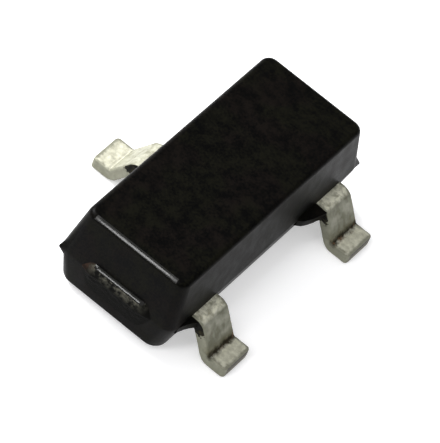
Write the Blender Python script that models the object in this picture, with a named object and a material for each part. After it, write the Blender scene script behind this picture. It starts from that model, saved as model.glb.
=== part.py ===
"""Surface-mount zener diode in a three-lead moulded plastic package.

A zener die is stuck to the pad of the cathode lead, a gold wire runs from the die to the anode lead,
and a third lead has no connection. Black moulding compound is cast round all of them in one piece.

+X points to the side with two leads, +Y runs along the body and +Z is up. The origin lies on the
circuit board, under the middle of the body. Sizes below are in millimetres. Each mesh is modelled with
one unit to the millimetre, because edges here are only hundredths of a millimetre wide, and finish()
brings it to metres.
"""

import math
import random

import bmesh
import bpy
from mathutils import Matrix, Vector

METRES_PER_MM = 0.001

# Moulded body. Two mould halves meet at the parting line, where the body is largest.
BODY_LENGTH = 2.92
BODY_WIDTH = 1.28
BODY_TOP = 0.935
STANDOFF = 0.045
PARTING_HEIGHT = 0.415
TOP_SIDE_DRAFT = math.radians(9.2)
TOP_END_DRAFT = math.radians(9.7)
BOTTOM_SIDE_DRAFT = math.radians(12)
BOTTOM_END_DRAFT = math.radians(6)
TOP_CORNER_RADIUS = 0.13
PARTING_CORNER_RADIUS = 0.12
BOTTOM_CORNER_RADIUS = 0.14
TOP_EDGE_RADIUS = 0.055
BOTTOM_EDGE_RADIUS = 0.045
CORNER_STEPS = 6
EDGE_STEPS = 4

# Round mark that the ejector pin leaves on the underside
EJECTOR_DIAMETER = 0.7
EJECTOR_DEPTH = 0.02

# Flash at two corners of the parting line
FLASH_REACH = 0.034
FLASH_WIDTH = 0.1
FLASH_THICKNESS = 0.05

# Webs of flash that hang under the parting line, beside the two leads at +X, towards -Y
WEB_ANODE_LENGTH = 0.2
WEB_ANODE_REACH = 0.085
WEB_ANODE_FULLNESS = 1.6
WEB_UNCONNECTED_LENGTH = 0.29
WEB_UNCONNECTED_REACH = 0.13
WEB_UNCONNECTED_FULLNESS = 0.55
WEB_THICKNESS = 0.085
WEB_STEPS = 7

# Broken-off mould gate on the end face at -Y
GATE_TOP_WIDTH = 0.56
GATE_WIDTH = 0.8
GATE_BOTTOM_WIDTH = 0.62
GATE_ABOVE_PARTING = 0.105
GATE_BELOW_PARTING = 0.25
GATE_LEDGE = 0.026
GATE_COLUMNS = 14
GATE_ROWS = 8
GATE_ROUGHNESS = 0.008
GATE_SEED = 7

# Leads, stamped from one strip and then bent. Their top is level with the parting line.
LEAD_THICKNESS = 0.11
LEAD_WIDTH = 0.39
LEAD_PITCH = 1.9
LEAD_SPAN = 2.26
LEAD_ROOT = 0.04
BEND_RADIUS = 0.08
LEG_ANGLE = math.radians(58)
BEND_STEPS = 7
LEAD_EDGE_RADIUS = 0.012
LEAD_CORNER_RADIUS = 0.025

# Inner ends of the leads: the die pad, the bonding posts and the notches that lock them in the body
PAD_LENGTH = 1.12
PAD_OUTER_EDGE = 0.4
PAD_INNER_EDGE = -0.24
POST_WIDTH = 0.52
POST_OUTER_EDGE = 0.46
POST_INNER_EDGE = 0.2
NOTCH_LENGTH = 0.07
NOTCH_WIDTH = 0.26

# Die, its bonding layer and its contact
DIE_SIDE = 0.3
DIE_THICKNESS = 0.14
DIE_X = -0.08
DIE_Y = -0.12
CONTACT_MARGIN = 0.06
CONTACT_THICKNESS = 0.004
ATTACH_THICKNESS = 0.014
ATTACH_FILLET = 0.03

# Gold wire with a ball on the die and a flattened stitch on the anode post
WIRE_DIAMETER = 0.028
BALL_DIAMETER = 0.076
BALL_HEIGHT = 0.026
LOOP_RISE = 0.2
LOOP_LANDING_RISE = 0.1
STITCH_X = 0.33
STITCH_LENGTH = 0.07
STITCH_FLATTENING = 0.45
STITCH_WIDENING = 1.6
LOOP_STEPS = 22

# Clearance between pieces that touch. The whole part is only 3 mm long, so it is a few micrometres.
FIT_GAP = 0.003

# Places worked out from the sizes
HALF_LENGTH = BODY_LENGTH / 2
HALF_WIDTH = BODY_WIDTH / 2
LEAD_TOP = PARTING_HEIGHT
LEAD_MIDDLE = LEAD_TOP - LEAD_THICKNESS / 2
LEAD_ROW = LEAD_PITCH / 2
BEND_START = HALF_WIDTH + LEAD_ROOT
BEND_DROP = BEND_RADIUS * (1 - math.cos(LEG_ANGLE))
BEND_LENGTH = BEND_RADIUS * LEG_ANGLE
LEG_LENGTH = (LEAD_TOP - LEAD_THICKNESS - 2 * BEND_DROP) / math.sin(LEG_ANGLE)
HEEL = BEND_START + 2 * BEND_RADIUS * math.sin(LEG_ANGLE) + LEG_LENGTH * math.cos(LEG_ANGLE)
FOOT_LENGTH = LEAD_SPAN / 2 - HEEL
FLAT_LENGTH = BEND_START + 2 * BEND_LENGTH + LEG_LENGTH + FOOT_LENGTH
ATTACH_BOTTOM = LEAD_TOP + FIT_GAP
DIE_BOTTOM = ATTACH_BOTTOM + ATTACH_THICKNESS + FIT_GAP
DIE_TOP = DIE_BOTTOM + DIE_THICKNESS


def clear_scene():
    """Remove every object that the file starts with."""
    for old in list(bpy.data.objects):
        bpy.data.objects.remove(old, do_unlink=True)


def material(name, colour, roughness, metallic):
    """Principled material with a plain colour."""
    made = bpy.data.materials.new(name)
    made.use_nodes = True
    shader = made.node_tree.nodes["Principled BSDF"]
    shader.inputs["Base Color"].default_value = (*colour, 1.0)
    shader.inputs["Roughness"].default_value = roughness
    shader.inputs["Metallic"].default_value = metallic
    return made


def as_object(name, bm):
    """Object in millimetres from a bmesh, with its faces pointing out."""
    bmesh.ops.recalc_face_normals(bm, faces=bm.faces)
    mesh = bpy.data.meshes.new(name)
    bm.to_mesh(mesh)
    bm.free()
    made = bpy.data.objects.new(name, mesh)
    bpy.context.collection.objects.link(made)
    return made


def combine(target, tool, operation):
    """Apply a Boolean to the target's mesh and remove the tool."""
    step = target.modifiers.new("combine", "BOOLEAN")
    step.operation = operation
    step.solver = "EXACT"
    step.object = tool
    bpy.context.view_layer.update()
    shaped = bpy.data.meshes.new_from_object(target.evaluated_get(bpy.context.evaluated_depsgraph_get()))
    target.modifiers.remove(step)
    target.data = shaped
    bpy.data.objects.remove(tool, do_unlink=True)


def finish(made, surface, smooth_angle=30):
    """Bring a piece to metres and give it its material and shading."""
    made.data.transform(Matrix.Scale(METRES_PER_MM, 4))
    made.data.materials.clear()
    made.data.materials.append(surface)
    made.data.shade_smooth()
    made.data.set_sharp_from_angle(angle=math.radians(smooth_angle))
    return made


def loft(bm, rings):
    """Join a stack of vertex rings and close both ends."""
    loops = []
    for ring in rings:
        loops.append([bm.edges.new((ring[i - 1], ring[i])) for i in range(len(ring))])
    for lower, upper in zip(loops, loops[1:]):
        bmesh.ops.bridge_loops(bm, edges=lower + upper)
    bm.faces.new(rings[0])
    bm.faces.new(rings[-1])


def rounded_ring(bm, half_x, half_y, radius, z):
    """Vertices of a rectangle with round corners, at one height."""
    ring = []
    for corner in range(4):
        sign_x = (1, -1, -1, 1)[corner]
        sign_y = (1, 1, -1, -1)[corner]
        for step in range(CORNER_STEPS + 1):
            turn = math.radians(90) * (corner + step / CORNER_STEPS)
            x = sign_x * (half_x - radius) + radius * math.cos(turn)
            y = sign_y * (half_y - radius) + radius * math.sin(turn)
            ring.append(bm.verts.new((x, y, z)))
    return ring


def edge_arc(radius, draft, share):
    """(inset, depth) on the arc round an edge, from the drafted wall at 0 to the flat face at 1."""
    turn = draft + (math.radians(90) - draft) * share
    inset = radius / math.cos(draft) - radius * math.tan(draft) - radius * math.cos(turn)
    return inset, radius - radius * math.sin(turn)


def half_rings(height, side_draft, end_draft, corner, edge):
    """(half width, half length, corner radius, depth below the flat face) round one mould half's edge."""
    rings = []
    for step in range(EDGE_STEPS + 1):
        share = step / EDGE_STEPS
        side_inset, side_depth = edge_arc(edge, side_draft, share)
        end_inset, end_depth = edge_arc(edge, end_draft, share)
        half_x = HALF_WIDTH - height * math.tan(side_draft) - side_inset
        half_y = HALF_LENGTH - height * math.tan(end_draft) - end_inset
        rings.append((half_x, half_y, corner - (side_inset + end_inset) / 2, (side_depth + end_depth) / 2))
    return rings


def moulded_block():
    """Outer form of the body: two drafted halves with rounded corners and edges."""
    bm = bmesh.new()
    below = half_rings(PARTING_HEIGHT - STANDOFF, BOTTOM_SIDE_DRAFT, BOTTOM_END_DRAFT,
                       BOTTOM_CORNER_RADIUS, BOTTOM_EDGE_RADIUS)
    above = half_rings(BODY_TOP - PARTING_HEIGHT, TOP_SIDE_DRAFT, TOP_END_DRAFT,
                       TOP_CORNER_RADIUS, TOP_EDGE_RADIUS)
    rings = [rounded_ring(bm, x, y, corner, STANDOFF + depth) for x, y, corner, depth in below[::-1]]
    rings.append(rounded_ring(bm, HALF_WIDTH, HALF_LENGTH, PARTING_CORNER_RADIUS, PARTING_HEIGHT))
    rings += [rounded_ring(bm, x, y, corner, BODY_TOP - depth) for x, y, corner, depth in above]
    loft(bm, rings)
    return as_object("body", bm)


def wall_y(z):
    """Distance of the end wall from the middle of the body, at one height."""
    draft = TOP_END_DRAFT if z > PARTING_HEIGHT else BOTTOM_END_DRAFT
    return HALF_LENGTH - abs(z - PARTING_HEIGHT) * math.tan(draft)


def gate_vestige():
    """Rough scar of the mould gate: a thin ledge at the top, level with the wall at the bottom."""
    bm = bmesh.new()
    bmesh.ops.create_grid(bm, x_segments=GATE_COLUMNS, y_segments=GATE_ROWS, size=1)
    chance = random.Random(GATE_SEED)
    top = PARTING_HEIGHT + GATE_ABOVE_PARTING
    height = GATE_ABOVE_PARTING + GATE_BELOW_PARTING
    parting_share = GATE_BELOW_PARTING / height
    for vert in bm.verts:
        across, up = vert.co.x, (vert.co.y + 1) / 2
        if up > parting_share:
            share = (up - parting_share) / (1 - parting_share)
            width = GATE_WIDTH + (GATE_TOP_WIDTH - GATE_WIDTH) * share
        else:
            width = GATE_BOTTOM_WIDTH + (GATE_WIDTH - GATE_BOTTOM_WIDTH) * up / parting_share
        z = top - height + height * up
        proud = GATE_LEDGE * (0.25 + 0.75 * up) * math.sqrt(1.05 - across * across)
        rough = chance.uniform(-GATE_ROUGHNESS, GATE_ROUGHNESS)
        edge = abs(across) > 0.99 or up > 0.99 or up < 0.01
        y = -wall_y(z) - proud + (0 if edge else rough)
        vert.co = Vector((across * width / 2, y, z))
    depth = Vector((0, GATE_LEDGE * 2, 0))
    back = bmesh.ops.extrude_face_region(bm, geom=list(bm.faces))
    moved = [item for item in back["geom"] if isinstance(item, bmesh.types.BMVert)]
    bmesh.ops.translate(bm, verts=moved, vec=depth)
    for vert in moved:
        vert.co.y = -HALF_LENGTH + GATE_LEDGE * 3
    return as_object("gate_vestige", bm)


def flash(sign_x, sign_y):
    """Small spur of flash that points out from a corner of the parting line."""
    bm = bmesh.new()
    inside = PARTING_CORNER_RADIUS
    reach = inside + FLASH_REACH
    bmesh.ops.create_cone(bm, segments=6, radius1=FLASH_WIDTH / 2, radius2=FLASH_WIDTH / 6,
                          depth=reach, cap_ends=True)
    bmesh.ops.scale(bm, verts=bm.verts, vec=(FLASH_THICKNESS / FLASH_WIDTH, 1, 1))
    bmesh.ops.translate(bm, verts=bm.verts, vec=(0, 0, reach / 2))
    bmesh.ops.rotate(bm, verts=bm.verts, matrix=Matrix.Rotation(math.radians(90), 3, "Y"))
    bmesh.ops.rotate(bm, verts=bm.verts, matrix=Matrix.Rotation(math.atan2(sign_y, sign_x), 3, "Z"))
    centre_x = sign_x * (HALF_WIDTH - PARTING_CORNER_RADIUS)
    centre_y = sign_y * (HALF_LENGTH - PARTING_CORNER_RADIUS)
    bmesh.ops.translate(bm, verts=bm.verts, vec=(centre_x, centre_y, PARTING_HEIGHT))
    return as_object("flash", bm)


def flash_web(row, length, reach, fullness):
    """Web of flash in the corner between the side wall at +X and the -Y side of a lead.

    Its rim runs from the wall to the lead: a fullness under 1 bows it out, and over 1 hollows it.
    """
    lead_side = row - LEAD_WIDTH / 2 - FIT_GAP
    inside = HALF_WIDTH - 2 * WEB_THICKNESS * math.tan(BOTTOM_SIDE_DRAFT)
    outline = [(inside, lead_side)]
    for step in range(WEB_STEPS + 1):
        share = step / WEB_STEPS
        outline.append((HALF_WIDTH + reach * (1 - share) ** fullness, lead_side - length * share))
    outline.append((inside, lead_side - length))
    bm = bmesh.new()
    face = bm.faces.new([bm.verts.new((x, y, PARTING_HEIGHT)) for x, y in outline])
    lower = bmesh.ops.extrude_face_region(bm, geom=[face])
    moved = [item for item in lower["geom"] if isinstance(item, bmesh.types.BMVert)]
    bmesh.ops.translate(bm, verts=moved, vec=(0, 0, -WEB_THICKNESS))
    return as_object("flash_web", bm)


def ejector_mark():
    """Disc that leaves the ejector pin's round mark in the underside."""
    bm = bmesh.new()
    bmesh.ops.create_cone(bm, segments=48, radius1=EJECTOR_DIAMETER / 2,
                          radius2=EJECTOR_DIAMETER / 2 - EJECTOR_DEPTH, depth=2 * EJECTOR_DEPTH,
                          cap_ends=True)
    bmesh.ops.translate(bm, verts=bm.verts, vec=(0, 0, STANDOFF))
    return as_object("ejector_mark", bm)


def stamped_steps(kind):
    """(outer end, half width) of each stretch of the stamped blank, and where its inner end is."""
    if kind == "pad":
        inner, outer, half = PAD_INNER_EDGE, PAD_OUTER_EDGE, PAD_LENGTH / 2
    else:
        inner, outer, half = POST_INNER_EDGE, POST_OUTER_EDGE, POST_WIDTH / 2
    return inner, [(outer, half), (outer + NOTCH_LENGTH, NOTCH_WIDTH / 2), (FLAT_LENGTH, LEAD_WIDTH / 2)]


def blank(kind, grow=0.0):
    """Flat stamped blank of one lead, drawn along +X from the middle of the body.

    With grow, every face lies that much further out, which gives the space it needs in the body.
    """
    inner, steps = stamped_steps(kind)
    upper = [(inner - grow, steps[0][1] + grow)]
    for (end, half), (_, following) in zip(steps, steps[1:]):
        shift = grow if following < half else -grow
        upper += [(end + shift, half + grow), (end + shift, following + grow)]
    upper.append((steps[-1][0], steps[-1][1] + grow))
    bm = bmesh.new()
    corners = upper + [(x, -y) for x, y in reversed(upper)]
    face = bm.faces.new([bm.verts.new((x, y, LEAD_TOP + grow)) for x, y in corners])
    if grow == 0:
        bmesh.ops.bevel(bm, geom=list(bm.verts), offset=LEAD_CORNER_RADIUS, segments=3, profile=0.5,
                        affect="VERTICES", material=-1)
        face = bm.faces[:][0]
    lower = bmesh.ops.extrude_face_region(bm, geom=[face])
    moved = [item for item in lower["geom"] if isinstance(item, bmesh.types.BMVert)]
    bmesh.ops.translate(bm, verts=moved, vec=(0, 0, -LEAD_THICKNESS - 2 * grow))
    return bm


def round_rims(bm):
    """Round the edges where the flat faces of a blank meet its cut sides."""
    bmesh.ops.recalc_face_normals(bm, faces=bm.faces)
    rims = []
    for edge in bm.edges:
        flat = [abs(face.normal.z) > 0.9 for face in edge.link_faces]
        if flat.count(True) == 1:
            rims.append(edge)
    bmesh.ops.bevel(bm, geom=rims, offset=LEAD_EDGE_RADIUS, segments=2, profile=0.5,
                    affect="EDGES", material=-1)


def formed(u, w):
    """Place of a point of the blank after bending: u along the strip, w above its middle."""
    run = u - BEND_START
    if run <= 0:
        return u, LEAD_MIDDLE + w
    if run <= BEND_LENGTH:
        turn = run / BEND_RADIUS
        x = BEND_START + BEND_RADIUS * math.sin(turn)
        z = LEAD_MIDDLE - BEND_RADIUS * (1 - math.cos(turn))
        return x + w * math.sin(turn), z + w * math.cos(turn)
    along_leg = min(run - BEND_LENGTH, LEG_LENGTH)
    x = BEND_START + BEND_RADIUS * math.sin(LEG_ANGLE) + along_leg * math.cos(LEG_ANGLE)
    z = LEAD_MIDDLE - BEND_DROP - along_leg * math.sin(LEG_ANGLE)
    run -= BEND_LENGTH + LEG_LENGTH
    if run <= 0:
        return x + w * math.sin(LEG_ANGLE), z + w * math.cos(LEG_ANGLE)
    turn = LEG_ANGLE - min(run, BEND_LENGTH) / BEND_RADIUS
    x += BEND_RADIUS * (math.sin(LEG_ANGLE) - math.sin(turn))
    z -= BEND_RADIUS * (math.cos(turn) - math.cos(LEG_ANGLE))
    foot = max(run - BEND_LENGTH, 0)
    return x + foot + w * math.sin(turn), z + w * math.cos(turn)


def lead(name, kind, side, y):
    """Stamp one lead, round its rims, bend it like a gull's wing and put it in its place."""
    bm = blank(kind)
    round_rims(bm)
    second_bend = BEND_START + BEND_LENGTH + LEG_LENGTH
    for start in (BEND_START, second_bend):
        for step in range(BEND_STEPS + 1):
            cut = Vector((start + BEND_LENGTH * step / BEND_STEPS, 0, 0))
            everything = bm.verts[:] + bm.edges[:] + bm.faces[:]
            bmesh.ops.bisect_plane(bm, geom=everything, plane_co=cut, plane_no=(1, 0, 0), dist=1e-6)
    for vert in bm.verts:
        x, z = formed(vert.co.x, vert.co.z - LEAD_MIDDLE)
        vert.co = Vector((x, vert.co.y, z))
    place_blank(bm, side, y)
    return as_object(name, bm)


def place_blank(bm, side, y):
    """Turn a blank drawn along +X to its own side of the body, and slide it to its own row."""
    if side < 0:
        bmesh.ops.rotate(bm, verts=bm.verts, matrix=Matrix.Rotation(math.radians(180), 3, "Z"))
    bmesh.ops.translate(bm, verts=bm.verts, vec=(0, y, 0))


def lead_pocket(kind, side, y):
    """Space that the flat part of one lead takes in the body, out through the side wall."""
    bm = blank(kind, FIT_GAP)
    place_blank(bm, side, y)
    return as_object("lead_pocket", bm)


def slab(name, centre, sides, bottom, top, corner=0.0, top_inset=0.0):
    """Square-cornered or round-cornered slab whose top may be smaller than its bottom."""
    bm = bmesh.new()
    bmesh.ops.create_cube(bm, size=1)
    bmesh.ops.scale(bm, verts=bm.verts, vec=(sides[0], sides[1], top - bottom))
    bmesh.ops.translate(bm, verts=bm.verts, vec=(centre[0], centre[1], (top + bottom) / 2))
    if corner:
        upright = [edge for edge in bm.edges if abs(edge.verts[0].co.z - edge.verts[1].co.z) > 1e-6]
        bmesh.ops.bevel(bm, geom=upright, offset=corner, segments=3, profile=0.5, affect="EDGES",
                        material=-1)
    if top_inset:
        share = 1 - 2 * top_inset / sides[0]
        about = Matrix.Translation((-centre[0], -centre[1], 0))
        high = [vert for vert in bm.verts if vert.co.z > (top + bottom) / 2]
        bmesh.ops.scale(bm, verts=high, vec=(share, share, 1), space=about)
    return as_object(name, bm)


def die_attach(grow=0.0):
    """Thin layer that bonds the die to the pad, with a fillet all round."""
    side = DIE_SIDE + 2 * ATTACH_FILLET + 2 * grow
    return slab("die_attach", (DIE_X, DIE_Y), (side, side), ATTACH_BOTTOM - 2 * grow,
                ATTACH_BOTTOM + ATTACH_THICKNESS + grow, corner=ATTACH_FILLET, top_inset=ATTACH_FILLET / 2)


def zener_die():
    """Sawn silicon die with a raised metal contact on top."""
    bm = bmesh.new()
    bmesh.ops.create_cube(bm, size=1)
    bmesh.ops.scale(bm, verts=bm.verts, vec=(DIE_SIDE, DIE_SIDE, DIE_THICKNESS))
    bmesh.ops.translate(bm, verts=bm.verts, vec=(DIE_X, DIE_Y, DIE_BOTTOM + DIE_THICKNESS / 2))
    top = max(bm.faces, key=lambda face: face.calc_center_median().z)
    bmesh.ops.inset_region(bm, faces=[top], thickness=CONTACT_MARGIN)
    top = max(bm.faces, key=lambda face: (face.calc_center_median().z, -face.calc_perimeter()))
    contact = bmesh.ops.extrude_face_region(bm, geom=[top])
    moved = [item for item in contact["geom"] if isinstance(item, bmesh.types.BMVert)]
    bmesh.ops.translate(bm, verts=moved, vec=(0, 0, CONTACT_THICKNESS))
    bmesh.ops.delete(bm, geom=[top], context="FACES_ONLY")
    return as_object("zener_die", bm)


def die_pocket():
    """Space that the die takes in the body."""
    side = DIE_SIDE + 2 * FIT_GAP
    return slab("die_pocket", (DIE_X, DIE_Y), (side, side), DIE_BOTTOM - 2 * FIT_GAP,
                DIE_TOP + CONTACT_THICKNESS + FIT_GAP)


def wire_route():
    """(point, radius) pairs: the squashed ball, the loop and the stitch on the anode post."""
    start = Vector((DIE_X, DIE_Y, DIE_TOP + CONTACT_THICKNESS + FIT_GAP))
    wire = WIRE_DIAMETER / 2
    ball = BALL_DIAMETER / 2
    route = []
    for step in range(7):
        height = step / 6
        bulge = math.sqrt(max(1 - (2 * height - 1) ** 2, 0))
        radius = max(ball * (0.7 + 0.3 * bulge) if height < 0.5 else ball * bulge, wire)
        route.append((start + Vector((0, 0, BALL_HEIGHT * height)), radius))
    neck = route[-1][0] + Vector((0, 0, WIRE_DIAMETER / 2))
    rest = Vector((STITCH_X, -LEAD_ROW, LEAD_TOP + FIT_GAP + wire * STITCH_FLATTENING))
    level = Vector((rest.x - neck.x, rest.y - neck.y, 0)).normalized()
    landing = rest - level * STITCH_LENGTH / 2
    high = neck + Vector((0, 0, LOOP_RISE))
    low = landing - level * LOOP_LANDING_RISE + Vector((0, 0, LOOP_LANDING_RISE))
    for step in range(LOOP_STEPS + 1):
        t = step / LOOP_STEPS
        s = 1 - t
        point = neck * s ** 3 + high * 3 * s * s * t + low * 3 * s * t * t + landing * t ** 3
        route.append((point, wire))
    route.append((landing + level * STITCH_LENGTH / 2, wire))
    route.append((landing + level * STITCH_LENGTH, wire * 0.8))
    return route, landing, level


def bond_wire(name="bond_wire", grow=0.0):
    """Wire swept along its route, with its last stretch pressed flat on the post."""
    route, landing, level = wire_route()
    curve = bpy.data.curves.new(name, "CURVE")
    curve.dimensions = "3D"
    curve.bevel_depth = 1
    curve.bevel_resolution = 3
    curve.use_fill_caps = True
    spline = curve.splines.new("POLY")
    spline.points.add(len(route) - 1)
    for target, (point, radius) in zip(spline.points, route):
        target.co = (*point, 1)
        target.radius = radius
    swept = bpy.data.objects.new(name, curve)
    bpy.context.collection.objects.link(swept)
    bpy.context.view_layer.update()
    mesh = bpy.data.meshes.new_from_object(swept.evaluated_get(bpy.context.evaluated_depsgraph_get()))
    bpy.data.objects.remove(swept, do_unlink=True)
    bm = bmesh.new()
    bm.from_mesh(mesh)
    bmesh.ops.remove_doubles(bm, verts=bm.verts, dist=1e-6)
    across = Vector((-level.y, level.x, 0))
    for vert in bm.verts:
        offset = vert.co - landing
        run = offset.dot(level)
        if vert.co.z < landing.z + WIRE_DIAMETER and run > -WIRE_DIAMETER:
            share = min(1, 1 + run / WIRE_DIAMETER)
            vert.co += across * offset.dot(across) * (STITCH_WIDENING - 1) * share
            vert.co.z -= (vert.co.z - landing.z) * (1 - STITCH_FLATTENING) * share
    if grow:
        bmesh.ops.recalc_face_normals(bm, faces=bm.faces)
        bm.normal_update()
        for vert, normal in [(vert, vert.normal.copy()) for vert in bm.verts]:
            vert.co += normal * grow
    return as_object(name, bm)


def body():
    """Moulded body: outer form, gate scar, flash and mark, hollowed for what it is cast round."""
    made = moulded_block()
    combine(made, gate_vestige(), "UNION")
    combine(made, flash(-1, -1), "UNION")
    combine(made, flash(1, 1), "UNION")
    combine(made, flash_web(-LEAD_ROW, WEB_ANODE_LENGTH, WEB_ANODE_REACH, WEB_ANODE_FULLNESS), "UNION")
    combine(made, flash_web(LEAD_ROW, WEB_UNCONNECTED_LENGTH, WEB_UNCONNECTED_REACH,
                            WEB_UNCONNECTED_FULLNESS), "UNION")
    combine(made, ejector_mark(), "DIFFERENCE")
    combine(made, lead_pocket("pad", -1, 0), "DIFFERENCE")
    combine(made, lead_pocket("post", 1, -LEAD_ROW), "DIFFERENCE")
    combine(made, lead_pocket("post", 1, LEAD_ROW), "DIFFERENCE")
    combine(made, die_attach(FIT_GAP), "DIFFERENCE")
    combine(made, die_pocket(), "DIFFERENCE")
    combine(made, bond_wire("wire_tunnel", FIT_GAP), "DIFFERENCE")
    return made


def build():
    """Make the whole diode."""
    clear_scene()
    compound = material("black_moulding_compound", (0.012, 0.012, 0.013), 0.5, 0.0)
    tin = material("matte_tin_plating", (0.55, 0.55, 0.5), 0.42, 1.0)
    silicon = material("silicon", (0.18, 0.19, 0.22), 0.3, 0.6)
    adhesive = material("silver_filled_adhesive", (0.5, 0.5, 0.5), 0.6, 0.4)
    gold = material("gold", (0.83, 0.6, 0.22), 0.25, 1.0)
    finish(body(), compound)
    finish(lead("lead_cathode", "pad", -1, 0), tin)
    finish(lead("lead_anode", "post", 1, -LEAD_ROW), tin)
    finish(lead("lead_unconnected", "post", 1, LEAD_ROW), tin)
    finish(die_attach(), adhesive)
    finish(zener_die(), silicon)
    finish(bond_wire(), gold, smooth_angle=60)


build()
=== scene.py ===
# %% [markdown]
# A surface-mount zener diode. The real thing is 3 mm long: a block of black moulding compound, cast
# round three tin-plated leads, with a silicon die and a gold wire sealed inside. This notebook loads
# the solid model of the diode as a fixed frame, and then gives every surface its shape and finish.

# %% Load the frame
import math

import bmesh
import bpy
from mathutils import Matrix, Vector, noise


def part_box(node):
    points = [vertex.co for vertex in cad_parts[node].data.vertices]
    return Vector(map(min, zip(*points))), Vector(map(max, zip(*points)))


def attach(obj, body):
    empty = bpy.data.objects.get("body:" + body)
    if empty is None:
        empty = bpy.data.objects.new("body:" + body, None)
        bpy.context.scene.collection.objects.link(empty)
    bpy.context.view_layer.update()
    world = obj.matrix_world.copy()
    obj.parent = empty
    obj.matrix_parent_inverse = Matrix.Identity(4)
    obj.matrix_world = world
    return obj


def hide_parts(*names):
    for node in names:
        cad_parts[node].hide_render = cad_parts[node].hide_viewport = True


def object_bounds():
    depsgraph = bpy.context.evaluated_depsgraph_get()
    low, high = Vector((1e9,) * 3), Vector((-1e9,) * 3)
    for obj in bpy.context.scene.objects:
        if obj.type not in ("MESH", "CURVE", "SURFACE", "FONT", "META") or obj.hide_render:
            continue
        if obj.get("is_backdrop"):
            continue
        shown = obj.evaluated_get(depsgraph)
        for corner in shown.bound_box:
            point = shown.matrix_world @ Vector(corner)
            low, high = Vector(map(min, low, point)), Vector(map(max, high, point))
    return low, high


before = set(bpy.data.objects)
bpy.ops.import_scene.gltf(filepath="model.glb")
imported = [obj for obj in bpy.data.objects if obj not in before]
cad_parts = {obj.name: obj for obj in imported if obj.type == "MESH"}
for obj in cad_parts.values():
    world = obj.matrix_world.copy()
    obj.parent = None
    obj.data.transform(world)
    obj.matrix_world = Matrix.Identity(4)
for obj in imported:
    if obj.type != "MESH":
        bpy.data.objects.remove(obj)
cad_box = [list(corner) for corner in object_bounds()]
print("frame holds", ", ".join(sorted(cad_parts)))

# %% [markdown]
# The frame is in metres, and an edge of this part is 0.00003 metres wide. Blender's mesh operators
# have fixed tolerances, which are coarse at that size, so pieces are drawn with one unit to the
# millimetre, and only the finished mesh is brought to metres.

# %% Sizes in millimetres, from the frame
MM = 0.001
SAME_POINT = 1e-5
CLOSE = 1e-4


def node_box(name):
    """Lowest and highest corner of a node of the frame, in millimetres."""
    low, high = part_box(name)
    return low / MM, high / MM


body_low, body_high = node_box("body")
anode_high = node_box("lead_anode")[1]
unconnected_low, unconnected_high = node_box("lead_unconnected")
BODY_TOP = body_high.z
STANDOFF = body_low.z
PARTING = anode_high.z
LEAD_REACH = anode_high.x
LEAD_ROW = (unconnected_low.y + unconnected_high.y) / 2
print(f"body {STANDOFF:.3f} to {BODY_TOP:.3f}, parting line {PARTING:.3f}, leads out to {LEAD_REACH:.3f}")

# %% [markdown]
# The camera looks down on the part from the side with two leads, a little rolled, as the photographer
# held it. It stands far away with a long lens, which keeps the long edges almost parallel.

# %% Camera
CAMERA_AIM = Vector((0.087, 0.155, 0.107)) * MM
CAMERA_AZIMUTH = math.radians(18.01)
CAMERA_ELEVATION = math.radians(48.56)
CAMERA_ROLL = math.radians(24.83)
CAMERA_DISTANCE = 45 * MM
CAMERA_FIELD = math.radians(4.9876)
NEAREST_SEEN = 1 * MM
FURTHEST_SEEN = 10

back = Vector((math.sin(CAMERA_AZIMUTH) * math.cos(CAMERA_ELEVATION),
               -math.cos(CAMERA_AZIMUTH) * math.cos(CAMERA_ELEVATION),
               math.sin(CAMERA_ELEVATION)))
lens = bpy.data.cameras.new("camera")
lens.clip_start = NEAREST_SEEN
lens.clip_end = FURTHEST_SEEN
lens.sensor_fit = "HORIZONTAL"
lens.angle = CAMERA_FIELD
camera = bpy.data.objects.new("camera", lens)
level = back.to_track_quat("Z", "Y").to_matrix().to_4x4()
place = Matrix.Translation(CAMERA_AIM + back * CAMERA_DISTANCE)
camera.matrix_world = place @ level @ Matrix.Rotation(CAMERA_ROLL, 4, "Z")
bpy.context.scene.collection.objects.link(camera)
bpy.context.scene.camera = camera
print("camera stands at", [round(value / MM, 1) for value in camera.matrix_world.translation])

# %% [markdown]
# Materials are built from shader nodes. A few helpers keep the cells below short: one adds a node and
# wires its inputs, the others are patterns and sums used again and again. All patterns read Object
# coordinates in metres, so a noise of scale 40 000 has cells of 0.025 mm. Noise stays near 0.5, so a
# pattern that uses its whole range starts at 0.3 and ends at 0.7, and a harder one at 0.4 and 0.6.

# %% Node helpers
NOISE_SPAN = (0.3, 0.7)
HARD_SPAN = (0.4, 0.6)


def add(tree, kind, inputs, **settings):
    """New shader node: settings are its properties, inputs are numbers, colours or sockets."""
    node = tree.nodes.new(kind)
    for name, value in settings.items():
        setattr(node, name, value)
    for name, source in inputs.items():
        if isinstance(source, bpy.types.NodeSocket):
            tree.links.new(source, node.inputs[name])
        else:
            node.inputs[name].default_value = source
    return node


def start_material(name, roughness, metallic=0.0, specular=0.5):
    """Material with its Principled shader, and the place on the object that its patterns read."""
    made = bpy.data.materials.new(name)
    made.use_nodes = True
    tree = made.node_tree
    shader = tree.nodes["Principled BSDF"]
    shader.inputs["Roughness"].default_value = roughness
    shader.inputs["Metallic"].default_value = metallic
    shader.inputs["Specular IOR Level"].default_value = specular
    return made, tree, shader, add(tree, "ShaderNodeTexCoord", {}).outputs["Object"]


def cells(tree, place, size, detail=2.0, roughness=0.5):
    """Noise from 0 to 1 whose cells are a number of millimetres wide."""
    inputs = {"Vector": place, "Scale": 1 / (size * MM), "Detail": detail, "Roughness": roughness}
    return add(tree, "ShaderNodeTexNoise", inputs).outputs["Fac"]


def maths(tree, operation, first, second=0.0):
    """One sum on two numbers."""
    return add(tree, "ShaderNodeMath", {0: first, 1: second}, operation=operation).outputs[0]


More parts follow.
